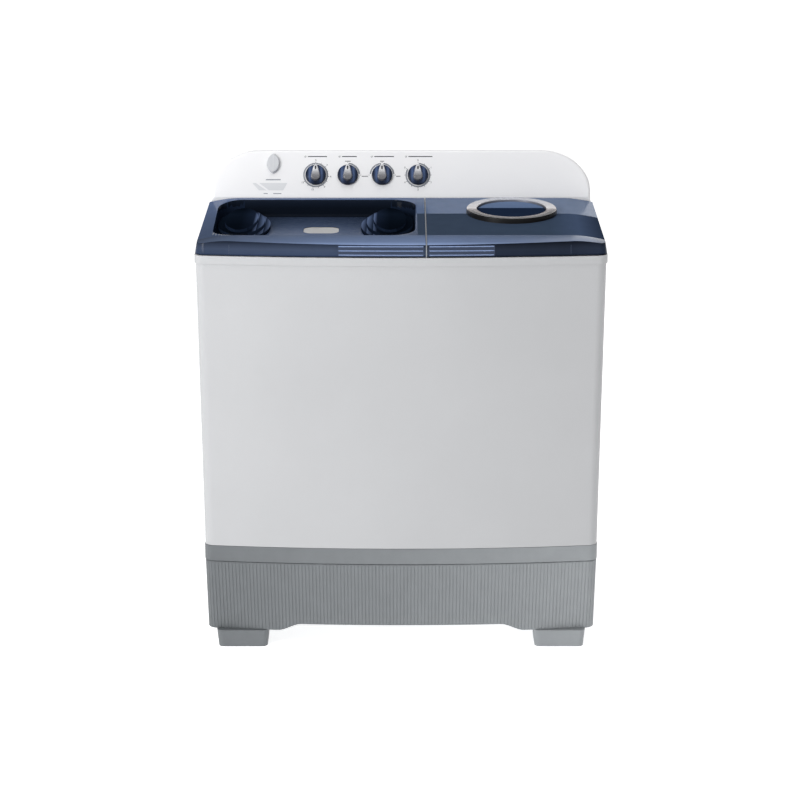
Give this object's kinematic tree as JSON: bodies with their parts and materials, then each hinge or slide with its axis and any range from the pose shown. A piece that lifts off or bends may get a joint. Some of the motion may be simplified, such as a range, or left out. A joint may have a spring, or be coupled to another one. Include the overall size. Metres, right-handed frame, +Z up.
{
  "type": "twin tub washer",
  "caption": "Free-standing washer with a wash tub and pulsator beside a spin basket, hinged lids and a rear console with knobs.",
  "frame": {"origin": "on the floor under the middle of the bounding box", "axes": "+X to the right as the user faces it, +Y to the back, +Z up"},
  "size_m": [0.936, 0.5529, 1.105],
  "materials": {
    "cabinet_grey": "fine satin moulding",
    "white_plastic": "fine satin moulding",
    "base_grey": "fine grained moulding",
    "lid_blue": "polished tinted moulding",
    "window_blue": "polished tinted moulding",
    "slot_grey": "satin moulding",
    "chrome_trim": "bright plated plastic",
    "dial_blue": "satin moulding",
    "grip_silver": "metallic paint on plastic",
    "pale_grey": "satin moulding",
    "tub_plastic": "smooth moulding",
    "black_plastic": "plain moulding",
    "steel": "machined",
    "basket_grey": "smooth moulding",
    "zinc_sheet": "zinc plated sheet",
    "motor_grey": "sprayed castings",
    "cast_alloy": "as cast",
    "rubber_black": "moulded rubber"
  },
  "bodies": {
    "cabinet": {"cabinet_shell": "cabinet_grey", "back_cover": "cabinet_grey", "case_screws": "steel", "base": "base_grey", "feet": "base_grey", "top_frame": "white_plastic", "control_panel": "white_plastic", "console_rear_cover": "white_plastic", "water_inlet_spigot": "pale_grey", "power_cord_gland": "black_plastic", "wash_tub": "tub_plastic", "pulsator_seal": "rubber_black", "wash_drain_grille": "white_plastic", "wash_gearbox": "motor_grey", "drive_belt": "rubber_black", "wash_motor": "motor_grey", "wash_drive_bracket": "zinc_sheet", "spin_outer_tub": "tub_plastic", "spin_bellows": "rubber_black", "spin_motor": "motor_grey", "spin_motor_springs": "steel", "drain_valve_body": "black_plastic", "wash_drain_pipe": "black_plastic", "spin_drain_pipe": "black_plastic", "drain_outlet_pipe": "black_plastic", "lid_switch": "black_plastic", "wash_timer_unit": "black_plastic", "wash_mode_unit": "black_plastic", "drain_selector_unit": "black_plastic", "spin_timer_unit": "black_plastic"},
    "wash_lid": {"wash_lid": "lid_blue", "wash_lid_slot_plate": "slot_grey", "wash_lid_hinge_pins": "steel"},
    "spin_lid": {"spin_lid": "lid_blue", "spin_lid_ring": "chrome_trim", "spin_lid_window": "window_blue", "spin_lid_hinge_pins": "steel"},
    "wash_timer": {"wash_timer_dial": "dial_blue", "wash_timer_grip": "grip_silver"},
    "wash_mode": {"wash_mode_dial": "dial_blue", "wash_mode_grip": "grip_silver"},
    "drain_selector": {"drain_selector_dial": "dial_blue", "drain_selector_grip": "grip_silver"},
    "spin_timer": {"spin_timer_dial": "dial_blue", "spin_timer_grip": "grip_silver"},
    "water_selector": {"water_selector_lever": "pale_grey", "water_diverter": "pale_grey"},
    "pulsator": {"pulsator": "white_plastic", "pulsator_screw": "white_plastic", "pulsator_shaft": "steel"},
    "wash_pulley": {"wash_pulley": "cast_alloy"},
    "wash_rotor": {"wash_motor_pulley": "cast_alloy"},
    "spin_rotor": {"spin_basket": "basket_grey", "basket_balance_ring": "white_plastic", "spin_hold_down_disc": "white_plastic", "spin_shaft": "steel", "brake_drum": "cast_alloy"},
    "brake_lever": {"brake_lever": "steel"},
    "drain_plug": {"drain_valve_plug": "black_plastic"},
    "lint_filter": {"lint_filter": "white_plastic"}
  },
  "joints": [
    {"name": "wash_lid_hinge", "type": "hinge", "parent": "cabinet", "child": "wash_lid", "pos_m": [-0.21, 0.1405, 0.9885], "axis": [-1, 0, 0], "range_deg": [0, 92]},
    {"name": "spin_lid_hinge", "type": "hinge", "parent": "cabinet", "child": "spin_lid", "pos_m": [0.256, 0.1405, 0.9885], "axis": [-1, 0, 0], "range_deg": [0, 92]},
    {"name": "wash_timer_turn", "type": "hinge", "parent": "cabinet", "child": "wash_timer", "pos_m": [-0.205, 0.17123, 1.04857], "axis": [0, 0.9272, -0.3746], "range_deg": [0, 240]},
    {"name": "wash_mode_turn", "type": "hinge", "parent": "cabinet", "child": "wash_mode", "pos_m": [-0.128, 0.17123, 1.04857], "axis": [0, 0.9272, -0.3746], "range_deg": [0, 90]},
    {"name": "drain_selector_turn", "type": "hinge", "parent": "cabinet", "child": "drain_selector", "pos_m": [-0.0455, 0.17123, 1.04857], "axis": [0, 0.9272, -0.3746], "range_deg": [-90, 90]},
    {"name": "spin_timer_turn", "type": "hinge", "parent": "cabinet", "child": "spin_timer", "pos_m": [0.0408, 0.17123, 1.04857], "axis": [0, 0.9272, -0.3746], "range_deg": [0, 300]},
    {"name": "water_selector_swing", "type": "hinge", "parent": "cabinet", "child": "water_selector", "pos_m": [-0.307, 0.18172, 1.07453], "axis": [0, 0.9272, -0.3746], "range_deg": [-22, 22]},
    {"name": "wash_pulley_spin", "type": "hinge", "parent": "cabinet", "child": "wash_pulley", "pos_m": [-0.21, -0.045, 0.16], "axis": [0, 0, 1], "continuous": true},
    {"name": "pulsator_spin", "type": "hinge", "parent": "cabinet", "child": "pulsator", "pos_m": [-0.21, -0.045, 0.34], "axis": [0, 0, 1], "continuous": true},
    {"name": "wash_motor_spin", "type": "hinge", "parent": "cabinet", "child": "wash_rotor", "pos_m": [-0.34, 0.06, 0.16], "axis": [0, 0, 1], "continuous": true},
    {"name": "spin_basket_spin", "type": "hinge", "parent": "cabinet", "child": "spin_rotor", "pos_m": [0.256, -0.04, 0.36], "axis": [0, 0, 1], "continuous": true},
    {"name": "brake_lever_swing", "type": "hinge", "parent": "cabinet", "child": "brake_lever", "pos_m": [0.3152, -0.102, 0.22], "axis": [0, 0, 1], "range_deg": [0, 2]},
    {"name": "drain_plug_lift", "type": "slide", "parent": "cabinet", "child": "drain_plug", "axis": [0, 0, 1], "range_m": [0, 0.012]},
    {"name": "lint_filter_lift", "type": "slide", "parent": "cabinet", "child": "lint_filter", "axis": [0, 0, 1], "range_m": [0, 0.03]}
  ],
  "couplings": [
    {"joint": "pulsator_spin", "follows": "wash_pulley_spin", "ratio": 0.25},
    {"joint": "wash_motor_spin", "follows": "wash_pulley_spin", "ratio": 4.6471},
    {"joint": "brake_lever_swing", "follows": "spin_lid_hinge", "ratio": 0.021639}
  ]
}
